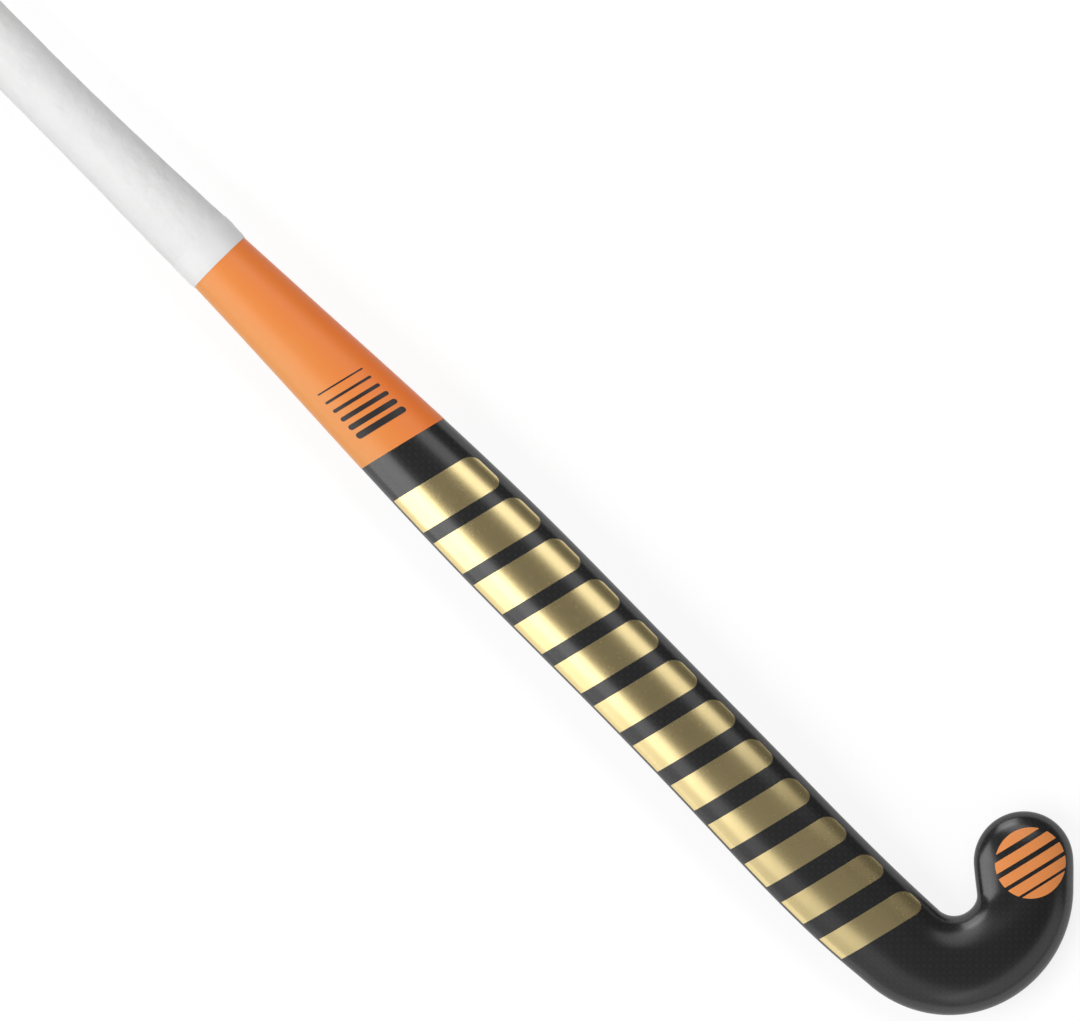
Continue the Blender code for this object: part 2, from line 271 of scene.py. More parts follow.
# Raw finishes: dark and light colour, grains in a metre, roughness and depth of the grain
RUBBER = ((0.026, 0.026, 0.028), (0.036, 0.036, 0.038), 900.0, 0.62, 0.00005)
LAMINATE = ((0.045, 0.045, 0.047), (0.075, 0.075, 0.078), 700.0, 0.55, 0.00004)
FILLING = ((0.30, 0.26, 0.19), (0.38, 0.34, 0.25), 400.0, 0.80, 0.00010)
FOAM = ((0.56, 0.52, 0.42), (0.68, 0.64, 0.54), 1200.0, 0.88, 0.00020)
ROUGHNESS_SPREAD = 0.08

# Wrap's pebbles against its dents, and how the tape's creases are drawn out round the shaft
PEBBLE_SHARE = 0.04
CREASE_STRETCH = (1.0, 0.12, 0.12)

# Sheet on which the shell's finish is drawn for export: its side, where the shaft is cut, and for
# each zone, on the face and on the back, the cloth's lowest corner, its place there and its scale
SHEET = 0.340
HEAD_SPLIT = 0.100
SHAFT_SPLIT = 0.307
CHARTS = {
    "head": (((-0.102, -0.037), (0.002, 0.150), 1.0), ((-0.102, -0.037), (0.002, 0.002), 1.0)),
    "lower": (((-0.309, -0.034), (0.124, 0.148), 1.0), ((-0.309, -0.035), (0.124, 0.002), 1.0)),
    "upper": (((-0.516, -0.034), (0.124, 0.218), 1.0), ((-0.516, -0.035), (0.124, 0.075), 1.0)),
    "handle": (((-0.926, -0.034), (0.002, 0.318), 0.28), ((-0.926, -0.035), (0.002, 0.296), 0.28)),
    "inside": (((-0.924, -0.037), (0.124, 0.316), 0.12), ((-0.924, -0.037), (0.124, 0.294), 0.12)),
}

# Sheets of the films: room round each flat shape, and the scale of what lies under a film
SHEET_MARGIN = 0.0008
HIDDEN_SCALE = 0.1

# The photograph's view: its turn about the vertical, its middle and its width on the object
VIEW_TURN = math.atan2(0.70951803, 0.70468728)
VIEW_MIDDLE = (0.1412, -0.0093, 0.020)
VIEW_WIDTH = 0.5091
LENS = 280.0
SENSOR = 36.0
CLIP_END = 200.0

# Heel side softboxes along the stick: start, end, brightness high up and low down
SOFTBOX_DISTANCE = 1.20
HIGH_ANGLES = (-19, -45)
LOW_ANGLES = (-45, -85)
HEEL_LIGHTS = (
    (-0.75, 0.12, 2.60, 2.50),
    (0.12, 0.30, 2.25, 1.30),
    (0.30, 0.50, 1.60, 0.80),
    (0.50, 0.68, 0.95, 0.60),
    (0.68, 2.00, 0.56, 0.48),
)

# Other softboxes along the stick: angles from overhead to the toe side, start, end and brightness
LONG_LIGHTS = {
    "overhead_softbox": ((-19, 13), 0.50, 2.00, 0.10),
    "toe_softbox": ((17, 40), -0.75, 0.20, 1.5),
    "long_toe_softbox": ((17, 40), -0.75, 0.55, 1.1),
}

# Softboxes beyond the ends: place, width and height, and brightness; and the point they face
END_LIGHTS = {
    "handle_softbox": ((-1.00, 0.75, 1.00), (1.1, 1.1), 2.7),
    "head_softbox": ((2.00, 0.0, 0.80), (2.2, 1.0), 0.7),
}
LIT_POINT = (0.1, 0.0, 0.0)

# Strength of the dim light from all round
AIR = 0.10

# Floor: its flat reach, rings and sides, how far it lies under the stick, and its rim's radius,
# first angle and steps
FLOOR_REACH = 40.0
FLOOR_RINGS = 12
FLOOR_SIDES = 64
FLOOR_DROP = 0.0002
RIM = 4.0
RIM_START = 0.1
RIM_STEPS = 8

# Floor's glow in view, near the stick and far from it, and the radii between which it grows
NEAR_GLOW = 0.79
FAR_GLOW = 0.97
GLOW_FROM = 0.5
GLOW_TO = 1.2

FACE, EDGE, BACK = 0, 1, 2


def smooth(table):
    """Curve through a table of places and values, bending evenly and level at both ends."""
    at, values = np.array(table).T
    steps = np.diff(at)
    slopes = np.concatenate([[0], np.diff(values) / steps, [0]])
    around = np.concatenate([[0], steps, [0]])
    system = np.diag(2 * (around[:-1] + around[1:])) + np.diag(steps, 1) + np.diag(steps, -1)
    bends = np.linalg.solve(system, 6 * np.diff(slopes))

    def value(place):
        place = np.clip(place, at[0], at[-1])
        i = np.clip(np.searchsorted(at, place) - 1, 0, len(at) - 2)
        far = (place - at[i]) / steps[i]
        near = 1 - far
        curl = (near ** 3 - near) * bends[i] + (far ** 3 - far) * bends[i + 1]
        return near * values[i] + far * values[i + 1] + curl * steps[i] ** 2 / 6

    return value


width_at = smooth(WIDTHS)
offset_at = smooth(OFFSETS)
thickness_at = smooth(THICKNESSES)
edge_width_at = smooth(EDGE_WIDTHS)
edge_height_at = smooth(EDGE_HEIGHTS)
fullness_at = smooth(FULLNESSES)


def bow(height):
    """Rise of the face at a height above the base of the head, with the butt down on its grip."""
    rate = BOW_DEPTH / (BOW_FROM_BASE ** 2 - PLANE_FACE ** 2)
    slope = 2 * rate * (BOW_FROM_BASE - PLANE_FACE)
    at_butt = slope * HEAD_EDGE_WIDTH + GAP + GRIP_THICKNESS
    run = (height - BOW_FROM_BASE) / (LENGTH - BOW_FROM_BASE)
    low = slope * height
    middle = BOW_DEPTH - rate * (BOW_FROM_BASE - height) ** 2
    high = BOW_DEPTH - (BOW_DEPTH - at_butt) * run ** 2
    return np.where(height < PLANE_FACE, low, np.where(height < BOW_FROM_BASE, middle, high))


def spine(place):
    """Point on the centre line and the direction across it, towards the inside of the hook."""
    along = (HOOK_FROM_BASE - place) / HOOK_RADIUS
    turn = np.clip(along, 0, HOOK_TURN)
    past = np.maximum(0, along - HOOK_TURN) * HOOK_RADIUS
    before = np.maximum(0, -along) * HOOK_RADIUS
    x = -HOOK_FROM_BASE - before + HOOK_RADIUS * np.sin(turn) + past * np.cos(turn)
    y = HOOK_RADIUS - HOOK_RADIUS * np.cos(turn) + past * np.sin(turn)
    return x, y, -np.sin(turn), np.cos(turn)


def section(place, ring):
    """Distance from the section's middle line and height over the face, for points of a ring."""
    _, stretch, share = ring
    half = width_at(place) / 2
    thickness = thickness_at(place)
    edge_width = edge_width_at(place)
    edge_height = edge_height_at(place)
    power = 2 / fullness_at(place)
    angle = np.clip(share, 0, 1) * math.pi / 2
    rise = np.clip(np.sin(angle), 0, 1)
    reach = np.clip(np.cos(angle), 0, 1)
    flat = half - edge_width
    on_back = edge_height + (thickness - edge_height) * rise ** power
    parts = [stretch == FACE, stretch == EDGE]
    away = np.select(parts, [share * flat, flat + edge_width * rise], half * reach ** power)
    height = np.select(parts, [0.0, edge_height - edge_height * reach], on_back)
    return away, height


def skin(place, ring):
    """Points of the shell's surface."""
    away, height = section(place, ring)
    x, y, across_x, across_y = spine(place)
    step = offset_at(place) + ring[0] * away
    x = x + across_x * step
    y = y + across_y * step
    return np.stack(np.broadcast_arrays(x, y, height + bow(-x)), axis=-1)


def skin_normals(place, ring):
    """Outward directions of the shell's surface."""
    side, stretch, share = ring
    lean = np.where(share > 0.5, -SHARE_PROBE, SHARE_PROBE)
    along = skin(place + PROBE, ring) - skin(place - PROBE, ring)
    around = skin(place, (side, stretch, share + lean)) - skin(place, ring)
    around = around * (side * np.sign(lean))[..., None]
    normal = np.cross(along, around)
    return normal / np.linalg.norm(normal, axis=-1, keepdims=True)


def layer(place, ring, height):
    """Points at a height over the shell's surface."""
    return skin(place, ring) + skin_normals(place, ring) * np.asarray(height)[..., None]


def back_shares(count):
    """Ring shares over half of the back, evenly spaced along an average section."""
    fine = np.linspace(0, math.pi / 2, SPREAD_SAMPLES)
    away = AVERAGE_HALF_WIDTH * np.cos(fine).clip(0) ** AVERAGE_POWER
    height = AVERAGE_RISE * np.sin(fine) ** AVERAGE_POWER
    run = np.concatenate([[0], np.cumsum(np.hypot(np.diff(away), np.diff(height)))])
    return np.interp(np.linspace(0, run[-1], count + 1), run, fine) / (math.pi / 2)


def half_ring():
    """Stretches and shares from the middle of the face round to the top of the back."""
    stretch = [FACE] * FACE_STEPS + [EDGE] * EDGE_STEPS + [BACK] * (BACK_STEPS + 1)
    share = [i / FACE_STEPS for i in range(FACE_STEPS)]
    share += [i / EDGE_STEPS for i in range(EDGE_STEPS)]
    share += list(back_shares(BACK_STEPS))
    return np.array(stretch), np.array(share)


def whole_ring():
    """Ring of the whole section: sides, stretches and shares."""
    stretch, share = half_ring()
    inner = slice(-2, 0, -1)
    sides = np.concatenate([np.ones(len(share)), -np.ones(len(share) - 2)])
    return sides, np.concatenate([stretch, stretch[inner]]), np.concatenate([share, share[inner]])


def back_ring(fractions):
    """Ring across the back at fractions of the half width, from the toe side to the heel side."""
    share = np.arccos(np.abs(fractions) ** (1 / AVERAGE_POWER)) / (math.pi / 2)
    sides = np.where(fractions < 0, -1.0, 1.0)
    return sides, np.full(fractions.shape, BACK), share


def stations(start, end, step):
    """Even places from start to end, no more than a step apart."""
    count = max(1, math.ceil(abs(end - start) / step - STEP_SLACK))
    return np.linspace(start, end, count + 1)


def shell_places():
    """Places of the shell's rings, from the toe to the butt."""
    runs = (
        stations(TIP, TURN_END, TOE_STEP),
        stations(TURN_END, HOOK_FROM_BASE, TURN_STEP),
        stations(HOOK_FROM_BASE, GRIP_END, SHAFT_STEP),
        stations(GRIP_END, SHELL_END, HANDLE_STEP),
    )
    return np.unique(np.concatenate(runs).round(PLACE_DIGITS))


def grid_faces(rows, columns, closed, first=0, turned=False):
    """Quads of a grid of points, which may close on itself across its columns."""
    faces = []
    for r in range(rows - 1):
        for c in range(columns if closed else columns - 1):
            d = (c + 1) % columns
            quad = (r * columns + c, (r + 1) * columns + c, (r + 1) * columns + d, r * columns + d)
            quad = tuple(first + i for i in quad)
            faces.append(quad[::-1] if turned else quad)
    return faces


def find_origin():
    """Where the stick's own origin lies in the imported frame, read off the end cap."""
    low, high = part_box("end_cap")
    place = LENGTH - CAP_FLANGE
    top = float(thickness_at(place) + bow(place)) + GAP + GRIP_THICKNESS
    return Vector((low.x + LENGTH, (low.y + high.y) / 2 - HANDLE_OFFSET, high.z - top))


ORIGIN = find_origin()


def add_object(name, data, place):
    """New object at a place in the scene."""
    obj = bpy.data.objects.new(name, data)
    obj.location = place
    bpy.context.scene.collection.objects.link(obj)
    return obj


def add_piece(name, mesh, material, cad_node):
    """Puts a mesh in the scene as a piece that stands for a CAD node."""
    mesh.materials.append(material)
    obj = add_object(name, mesh, ORIGIN)
    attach(obj, "root")
    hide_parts(cad_node)


def make_mesh(name, points, faces):
    """Smooth mesh, sharp at its hard edges."""
    mesh = bpy.data.meshes.new(name)
    mesh.from_pydata(np.asarray(points).tolist(), [], faces)
    mesh.validate()
    mesh.shade_smooth()
    mesh.set_sharp_from_angle(angle=SHARP_ANGLE)
    return mesh


def path_lengths(points):
    """Lengths along a line of points, from its start."""
    return np.concatenate([[0], np.cumsum(np.linalg.norm(np.diff(points, axis=0), axis=1))])


def grid_flats(along, across, turned=False):
    """Corners of a grid's quads laid flat, in the order of grid_faces."""
    flats = []
    for low, high in zip(along, along[1:]):
        for left, right in zip(across, across[1:]):
            quad = [(left, low), (left, high), (right, high), (right, low)]
            flats += quad[::-1] if turned else quad
    return flats


def film(points, normals, closed=False, lift=0.0):
    """Closed film over a grid of surface points: its mesh, and how that lies flat for export."""
    rows, columns = points.shape[:2]
    count = rows * columns
    last = columns if closed else columns - 1
    top = (points + normals * (FILM_TOP + lift)).reshape(-1, 3)
    foot = (points + normals * (FILM_FOOT + lift)).reshape(-1, 3)
    solid = np.concatenate([top, foot])
    up = normals.reshape(-1, 3)
    along = path_lengths(points[:, columns // 2])
    across = path_lengths(points[rows // 2, np.arange(last + 1) % columns])
    beside = across[-1] + 2 * SHEET_MARGIN

    faces = grid_faces(rows, columns, closed)
    shading = [up[i] for face in faces for i in face]
    flats = grid_flats(along, across)
    feet = grid_faces(rows, columns, closed, count, True)
    shading += [-up[i - count] for face in feet for i in face]
    for x, y in grid_flats(along, across, True):
        flats.append((beside + HIDDEN_SCALE * x, HIDDEN_SCALE * y))

    near = [(0, c) for c in range(last + 1)]
    far = [(rows - 1, c) for c in range(last, -1, -1)]
    rims = [near, far]
    if not closed:
        one_side = [(r, last) for r in range(1, rows)]
        other_side = [(r, 0) for r in range(rows - 2, -1, -1)]
        rims = [near + one_side + far[1:] + other_side]
    walls = []
    for rim in rims:
        for (r, c), (s, d) in zip(rim, rim[1:]):
            a = r * columns + c % columns
            b = s * columns + d % columns
            walls.append((a, b, b + count, a + count))
            out = np.cross(solid[b] - solid[a], solid[a + count] - solid[a])
            shading += [out / max(np.linalg.norm(out), LEAST_AREA)] * 4
            start = np.array((across[c], along[r]))
            end = np.array((across[d], along[s]))
            away = np.array((end[1] - start[1], start[0] - end[0]))
            away = away * SHEET_MARGIN / 2 / np.linalg.norm(away)
            flats += [start, end, end + away, start + away]
    size = (beside + HIDDEN_SCALE * across[-1] + 2 * SHEET_MARGIN, along[-1] + 2 * SHEET_MARGIN)
    return solid, faces + feet + walls, shading, np.array(flats), size


def add_films(name, films, material):
    """One piece of several films, with their flat shapes stacked on one sheet for export."""
    points = []
    faces = []
    shading = []
    sheet = []
    width = max(size[0] for *_, size in films)
    stacks = [0.0] * max(1, round(math.sqrt(sum(size[1] for *_, size in films) / width)))
    for solid, quads, directions, flats, size in films:
        faces += [tuple(i + len(points) for i in quad) for quad in quads]
        points += solid.tolist()
        shading += directions
        lowest = stacks.index(min(stacks))
        sheet.append(flats + (lowest * width + SHEET_MARGIN, stacks[lowest] + SHEET_MARGIN))
        stacks[lowest] += size[1]
    mesh = bpy.data.meshes.new(name)
    mesh.from_pydata(points, [], faces)
    mesh.shade_smooth()
    mesh.normals_split_custom_set([tuple(direction) for direction in shading])
    places = np.concatenate(sheet) / max(width * len(stacks), max(stacks))
    mesh.uv_layers.new(name="OFBake").data.foreach_set("uv", places.ravel())
    add_piece(name, mesh, material, "composite_shell")


def slanted(base, ring):
    """Places on the shaft along a line slanted across it, for each point of a ring."""
    place = np.broadcast_to(base, np.broadcast_shapes(np.shape(base), ring[0].shape))
    for _ in range(SLANT_ROUNDS):
        away, _ = section(place, ring)
        place = base - SLANT * (offset_at(place) + ring[0] * away)
    return place


def rounded_rows(width, corner):
    """Distances across a bar, closer together where its corners are rounded."""
    turn = np.linspace(0, math.pi / 2, ROUND_STEPS + 1)
    start = corner * (1 - np.cos(turn))
    middle = stations(corner, width - corner, FILM_STEP)[1:-1]
    return np.concatenate([start, middle, (width - start)[::-1]])


def corner_cut(rows, width, corner):
    """How far a rounded end draws back at each row of a bar."""
    near = np.minimum(rows, width - rows)
    inside = np.clip(corner - near, 0, corner)
    return corner - np.sqrt(np.maximum(corner ** 2 - inside ** 2, 0))


def bar_film(start, width, toe_end, heel_end, corner, heel_corner=False, lift=0.0):
    """Film of one slanted bar across the back, with rounded ends."""
    rows = rounded_rows(width, corner)
    half = float(width_at(start)) / 2
    toe = toe_end - corner_cut(rows, width, corner) / half
    heel = np.full(rows.shape, heel_end)
    if heel_corner:
        heel = heel_end + corner_cut(rows, width, corner) / half
    columns = math.ceil((toe_end - heel_end) * half / FILM_STEP)
    spread = np.linspace(0, 1, columns + 1)
    fractions = toe[:, None] + (heel - toe)[:, None] * spread
    ring = back_ring(fractions)
    place = slanted((start + rows)[:, None], ring)
    return film(skin(place, ring), skin_normals(place, ring), lift=lift)


def fill(tree, shader_node, inputs):
    """Sets or links inputs of a shader node, by name or number."""
    for key, value in inputs.items():
        if isinstance(value, bpy.types.NodeSocket):
            tree.links.new(value, shader_node.inputs[key])
        else:
            shader_node.inputs[key].default_value = value


def node(tree, kind, **values):
    """New shader node, with its settings and some of its inputs."""
    made = tree.nodes.new(kind)
    inputs = values.pop("inputs", {})
    for key, value in values.items():
        setattr(made, key, value)
    fill(tree, made, inputs)
    return made


def calc(tree, operation, a, b=0.0, c=0.0):
    """Result of a math node."""
    return node(tree, "ShaderNodeMath", operation=operation, inputs={0: a, 1: b, 2: c}).outputs[0]


def blend(tree, share, a, b):
    """Colour between two colours, each a socket or red, green and blue."""
    ends = [c if isinstance(c, bpy.types.NodeSocket) else (*c, 1) for c in (a, b)]
    inputs = {0: share, 6: ends[0], 7: ends[1]}
    return node(tree, "ShaderNodeMix", data_type="RGBA", inputs=inputs).outputs[2]


def mix(tree, share, a, b):
    """Number between two numbers."""
    return node(tree, "ShaderNodeMix", data_type="FLOAT", inputs={0: share, 2: a, 3: b}).outputs[0]


def noise(tree, scale, detail=2.0, coordinates=None):
    """Grey noise over the object, at a scale per metre."""
    if coordinates is None:
        coordinates = node(tree, "ShaderNodeTexCoord").outputs["Object"]
    inputs = {"Vector": coordinates, "Scale": scale, "Detail": detail}
    return node(tree, "ShaderNodeTexNoise", inputs=inputs).outputs["Fac"]


def between(tree, value, low, high):
    """A share from 0 to 1 spread over a range."""
    return node(tree, "ShaderNodeMapRange", inputs={0: value, 3: low, 4: high}).outputs[0]


def bump(tree, height, distance):
    """Surface direction from a height field that rises over a distance in metres."""
    return node(tree, "ShaderNodeBump", inputs={"Height": height, "Distance": distance}).outputs[0]


def new_material(name):
    """Material with a Principled shader, and its nodes."""
    material = bpy.data.materials.new(name)
    material.use_nodes = True
    return material, material.node_tree


def set_shader(tree, **inputs):
    """Sets or links inputs of a material's Principled shader."""
    named = {key.replace("_", " "): value for key, value in inputs.items()}
    fill(tree, tree.nodes["Principled BSDF"], named)


def carbon_material():
    """Plain weave of carbon tows under a satin lacquer."""
    material, tree = new_material("carbon_weave")
    cloth = node(tree, "ShaderNodeUVMap", uv_map="cloth").outputs[0]
    split = node(tree, "ShaderNodeSeparateXYZ", inputs={0: cloth})
    along = calc(tree, "DIVIDE", split.outputs[0], TOW)
    across = calc(tree, "DIVIDE", split.outputs[1], TOW)
    cells = calc(tree, "ADD", calc(tree, "FLOOR", along), calc(tree, "FLOOR", across))
    over = calc(tree, "FLOORED_MODULO", cells, 2.0)
    lying, lying_fibre = tow(tree, along, across)
    crossing, crossing_fibre = tow(tree, across, along)
    height = mix(tree, over, lying, crossing)
    fibre = mix(tree, over, lying_fibre, crossing_fibre)
    # Painted highlight on each tow's crown, falling to painted shade in the gaps between tows,
    # streaked by the fibres
    crown_highlight = calc(tree, "MULTIPLY", height, between(tree, fibre, low=0.4, high=1.4))
    # Lying tows painted lighter and crossing tows darker, as the sheen of the light from the heel
    # side
    light = blend(tree, over, LIT_LYING_TOW, SHADED_CROSSING_TOW)
    set_shader(
        tree,
        Coat_Weight=0.34,
        Coat_Roughness=0.235,
        Coat_IOR=2.4,
        Specular_IOR_Level=0.06,
        Base_Color=blend(tree, crown_highlight, SHADED_TOW_GAP, light),
        Roughness=between(tree, fibre, low=0.30, high=0.46),
        Normal=bump(tree, height, distance=0.00006),
    )
    return material


def tow(tree, run, side):
    """Height of a tow where it passes over, from 0 to 1, and the streaks of its fibres."""
    height = 1.0
    for place, fall in ((run, FALL_ALONG), (side, FALL_ACROSS)):
        off = calc(tree, "SUBTRACT", calc(tree, "FRACT", place), 0.5)
        height = calc(tree, "MULTIPLY_ADD", calc(tree, "MULTIPLY", off, off), fall, height)
    fibres = calc(tree, "MULTIPLY", side, FIBRES)
    streaks = node(tree, "ShaderNodeCombineXYZ", inputs={0: run, 1: fibres})
    return height, noise(tree, FIBRE_SCALE, coordinates=streaks.outputs[0])


def gold_material():
    """Gold foil under lacquer, duller towards its edges."""
    material, tree = new_material("gold_foil")
    cloud = noise(tree, scale=60.0, detail=3.0)
    grain = noise(tree, scale=900.0)
    set_shader(
        tree,
        Metallic=1.0,
        Coat_Weight=0.35,
        Coat_Roughness=0.10,
        Specular_Tint=GOLD_RIM,
        Base_Color=blend(tree, cloud, DARK_GOLD, LIGHT_GOLD),
        Roughness=between(tree, grain, low=0.245, high=0.285),
        Normal=bump(tree, grain, distance=0.0000015),
    )
    return material


def paint_material(name, heel, toe, reach):
    """Satin paint with a faint orange peel, its colour blended from the heel side to the toe side,
    which on the orange band is a painted sheen on the heel side and painted shade on the toe side.
    """
    material, tree = new_material(name)
    place = node(tree, "ShaderNodeTexCoord").outputs["Object"]
    across = node(tree, "ShaderNodeSeparateXYZ", inputs={0: place}).outputs[1]
    cloud = noise(tree, scale=45.0, detail=3.0)
    peel = noise(tree, scale=1400.0)
    # Share of the toe side's colour across the stick, with random clouding: on the orange band this
    # paints a sheen on the heel side and shade on the toe side
    shade = node(tree, "ShaderNodeMapRange", inputs={0: across, 1: -reach, 2: reach}).outputs[0]
    shade = calc(tree, "MULTIPLY_ADD", calc(tree, "SUBTRACT", cloud, 0.5), PAINT_CLOUDING, shade)
    set_shader(
        tree,
        Coat_Weight=0.10,
        Coat_Roughness=0.28,
        Specular_IOR_Level=0.32,
        Base_Color=blend(tree, shade, heel, toe),
        Roughness=between(tree, peel, low=0.36, high=0.46),
        Normal=bump(tree, peel, distance=0.00001),
    )
    return material


def grip_material():
    """Soft white synthetic wrap, finely pebbled and a little cloudy."""
    material, tree = new_material("white_wrap")
    cloud = noise(tree, scale=70.0, detail=4.0)
    pebble = noise(tree, scale=2600.0, detail=3.0)
    dent = noise(tree, scale=150.0)
    rough = calc(tree, "MULTIPLY_ADD", pebble, PEBBLE_SHARE, dent)
    set_shader(
        tree,
        Specular_IOR_Level=0.35,
        Base_Color=blend(tree, cloud, DARK_WRAP, LIGHT_WRAP),
        Roughness=between(tree, pebble, low=0.50, high=0.66),
        Normal=bump(tree, rough, distance=0.0010),
    )
    return material


def tape_material():
    """White finishing tape, smoother than the wrap, with faint creases round the shaft."""
    material, tree = new_material("white_tape")
    place = node(tree, "ShaderNodeTexCoord").outputs["Object"]
    stretched = node(tree, "ShaderNodeMapping", inputs={"Vector": place, "Scale": CREASE_STRETCH})
    crease = noise(tree, scale=420.0, coordinates=stretched.outputs[0])
    cloud = noise(tree, scale=90.0)
    set_shader(
        tree,
        Specular_IOR_Level=0.45,
        Base_Color=blend(tree, cloud, DARK_TAPE, LIGHT_TAPE),
        Roughness=between(tree, crease, low=0.38, high=0.50),
        Normal=bump(tree, crease, distance=0.00006),
    )
    return material


def raw_material(name, dark, light, scale, roughness, depth):
    """Plain matt stuff with a grain: rubber, laminate, filling or foam."""
    material, tree = new_material(name)
    grain = noise(tree, scale, detail=3.0)
    set_shader(
        tree,
        Base_Color=blend(tree, grain, dark, light),
        Roughness=between(tree, grain, roughness - ROUGHNESS_SPREAD, roughness + ROUGHNESS_SPREAD),
        Normal=bump(tree, grain, depth),
    )
    return material


def tip_points(height, ring):
    """Points of the toe's round end: the half section spun about its upright middle line."""
    stretch, share = ring
    away, level = section(TIP, (1.0, stretch, share))
    x, y, across_x, across_y = spine(TIP)
    middle = offset_at(TIP)
    centre_x = x + across_x * middle
    centre_y = y + across_y * middle
    flat = np.array([away, level]).T
    run = np.gradient(flat, axis=0)
    out = np.stack([run[:, 1], -run[:, 0]], axis=-1)
    out = out / np.linalg.norm(out, axis=-1, keepdims=True)
    out[0] = (0, -1)
    out[-1] = (0, 1)
    flat = flat + out * height
    flat[0, 0] = 0
    flat[-1, 0] = 0
    spin = np.linspace(0, math.pi, TIP_STEPS + 1)[1:-1, None]
    x = centre_x + (across_x * np.cos(spin) + across_y * np.sin(spin)) * flat[:, 0]
    y = centre_y + (across_y * np.cos(spin) - across_x * np.sin(spin)) * flat[:, 0]
    return np.stack(np.broadcast_arrays(x, y, flat[:, 1] + bow(-x)), axis=-1)


def zone_at(place):
    """Zone of the shell's outside at a place."""
    if place < HEAD_SPLIT:
        return "head"
    if place < SHAFT_SPLIT:
        return "lower"
    return "upper" if place < GRIP_END else "handle"


def make_shell(material):
    """Hollow moulding from the butt to the toe, with the cloth's own map for its weave."""
    ring = whole_ring()
    half = half_ring()
    half_count = len(half[0])
    columns = len(ring[0])
    outer_places = shell_places()
    inner_places = np.unique(np.append(outer_places[::INSIDE_EVERY], SHELL_END))
    bm = bmesh.new()
    cloth = bm.loops.layers.uv.new("cloth")
    sheet = bm.loops.layers.uv.new("OFBake")

    def lay(face, flats, zone, back):
        """Lays a face out flat on the cloth, and on the sheet for export."""
        (low_x, low_y), (x, y), scale = CHARTS[zone][int(back)]
        for loop, flat in zip(face.loops, flats):
            loop[cloth].uv = flat
            loop[sheet].uv = (
                ((flat[0] - low_x) * scale + x) / SHEET,
                ((flat[1] - low_y) * scale + y) / SHEET,
            )

    def laid_ring(place, row):
        """Points of a ring laid flat, first as on the face and then as on the back."""
        right = path_lengths(row[:half_count])
        back = right[-1] - right
        x, y, across_x, across_y = spine(place)
        middle = offset_at(place)
        flats = []
        for run in (right, back):
            run = middle + np.concatenate([run, -run[-2:0:-1]])
            flats.append(np.stack([x + across_x * run, y + across_y * run], axis=-1))
        return flats

    def skin_side(places, height, inside):
        """One side of the wall: rings, skinned, with the round end of the toe."""
        points = layer(places[:, None], ring, np.array(height))
        rows = [[bm.verts.new(p) for p in row] for row in points]
        flats = [laid_ring(place, row) for place, row in zip(places, points)]
        for r in range(len(rows) - 1):
            zone = "inside" if inside else zone_at((places[r] + places[r + 1]) / 2)
            for c in range(columns):
                d = (c + 1) % columns
                corners = [(r, c), (r + 1, c), (r + 1, d), (r, d)]
                if inside:
                    corners.reverse()
                face = bm.faces.new([rows[i][j] for i, j in corners])
                back = ring[1][c] == BACK and ring[1][d] == BACK
                lay(face, [flats[i][int(back)][j] for i, j in corners], zone, back)
        add_tip(rows[0], height, inside)
        return rows, flats[-1][0]

    def add_tip(first, height, inside):
        """Round end of the toe on the first ring."""
        stretch, _ = half
        lines = [[bm.verts.new(p) for p in line[1:-1]] for line in tip_points(height, half)]
        start = first[:half_count]
        end = [first[0]] + first[half_count:][::-1] + [first[half_count - 1]]
        lines = [start] + [[first[0]] + line + [first[half_count - 1]] for line in lines] + [end]
        x, y, across_x, across_y = spine(TIP)
        middle = offset_at(TIP)
        right = path_lengths(np.array([v.co for v in start]))

        def laid(spin, run):
            """Point of the round end laid flat, at a turn about its middle."""
            way_x = across_x * math.cos(spin) + across_y * math.sin(spin)
            way_y = across_y * math.cos(spin) - across_x * math.sin(spin)
            return x + across_x * middle + way_x * run, y + across_y * middle + way_y * run

        for s, (one, two) in enumerate(zip(lines, lines[1:])):
            for h in range(half_count - 1):
                back = stretch[h] == BACK
                corners = [(0, h), (0, h + 1), (1, h + 1), (1, h)]
                verts = [(one, two)[i][j] for i, j in corners]
                keep = [k for k, v in enumerate(verts) if v not in verts[:k]]
                if inside:
                    keep.reverse()
                face = bm.faces.new([verts[k] for k in keep])
                flats = []
                for i, j in (corners[k] for k in keep):
                    run = right[-1] - right[j] if back else right[j]
                    flats.append(laid(math.pi * (s + i) / TIP_STEPS, run))
                lay(face, flats, "inside" if inside else "head", back)

    outside, laid_end = skin_side(outer_places, 0.0, False)
    inside, _ = skin_side(inner_places, -WALL, True)
    for c in range(columns):
        d = (c + 1) % columns
        face = bm.faces.new((outside[-1][c], inside[-1][c], inside[-1][d], outside[-1][d]))
        flats = [laid_end[i] - (drop, 0) for i, drop in ((c, 0), (c, WALL), (d, WALL), (d, 0))]
        lay(face, flats, "handle", False)
    mesh = bpy.data.meshes.new("carbon_shell")
    bm.to_mesh(mesh)
    bm.free()
    mesh.shade_smooth()
    mesh.set_sharp_from_angle(angle=SHARP_ANGLE)
    add_piece("carbon_shell", mesh, material, "composite_shell")


def make_band(material):
    """Orange paint all round the shaft, from its slanted border to under the tape."""
    ring = whole_ring()
    top = GRIP_END - TAPE_ON_SHAFT + BAND_UNDER_TAPE
    border = slanted(BAND_FROM_BASE, ring)
    rows = stations(0, 1, FILM_STEP / (top - BAND_FROM_BASE))[:, None]
    place = border + (top - border) * rows
    films = [film(skin(place, ring), skin_normals(place, ring), closed=True)]
    add_films("orange_band", films, material)


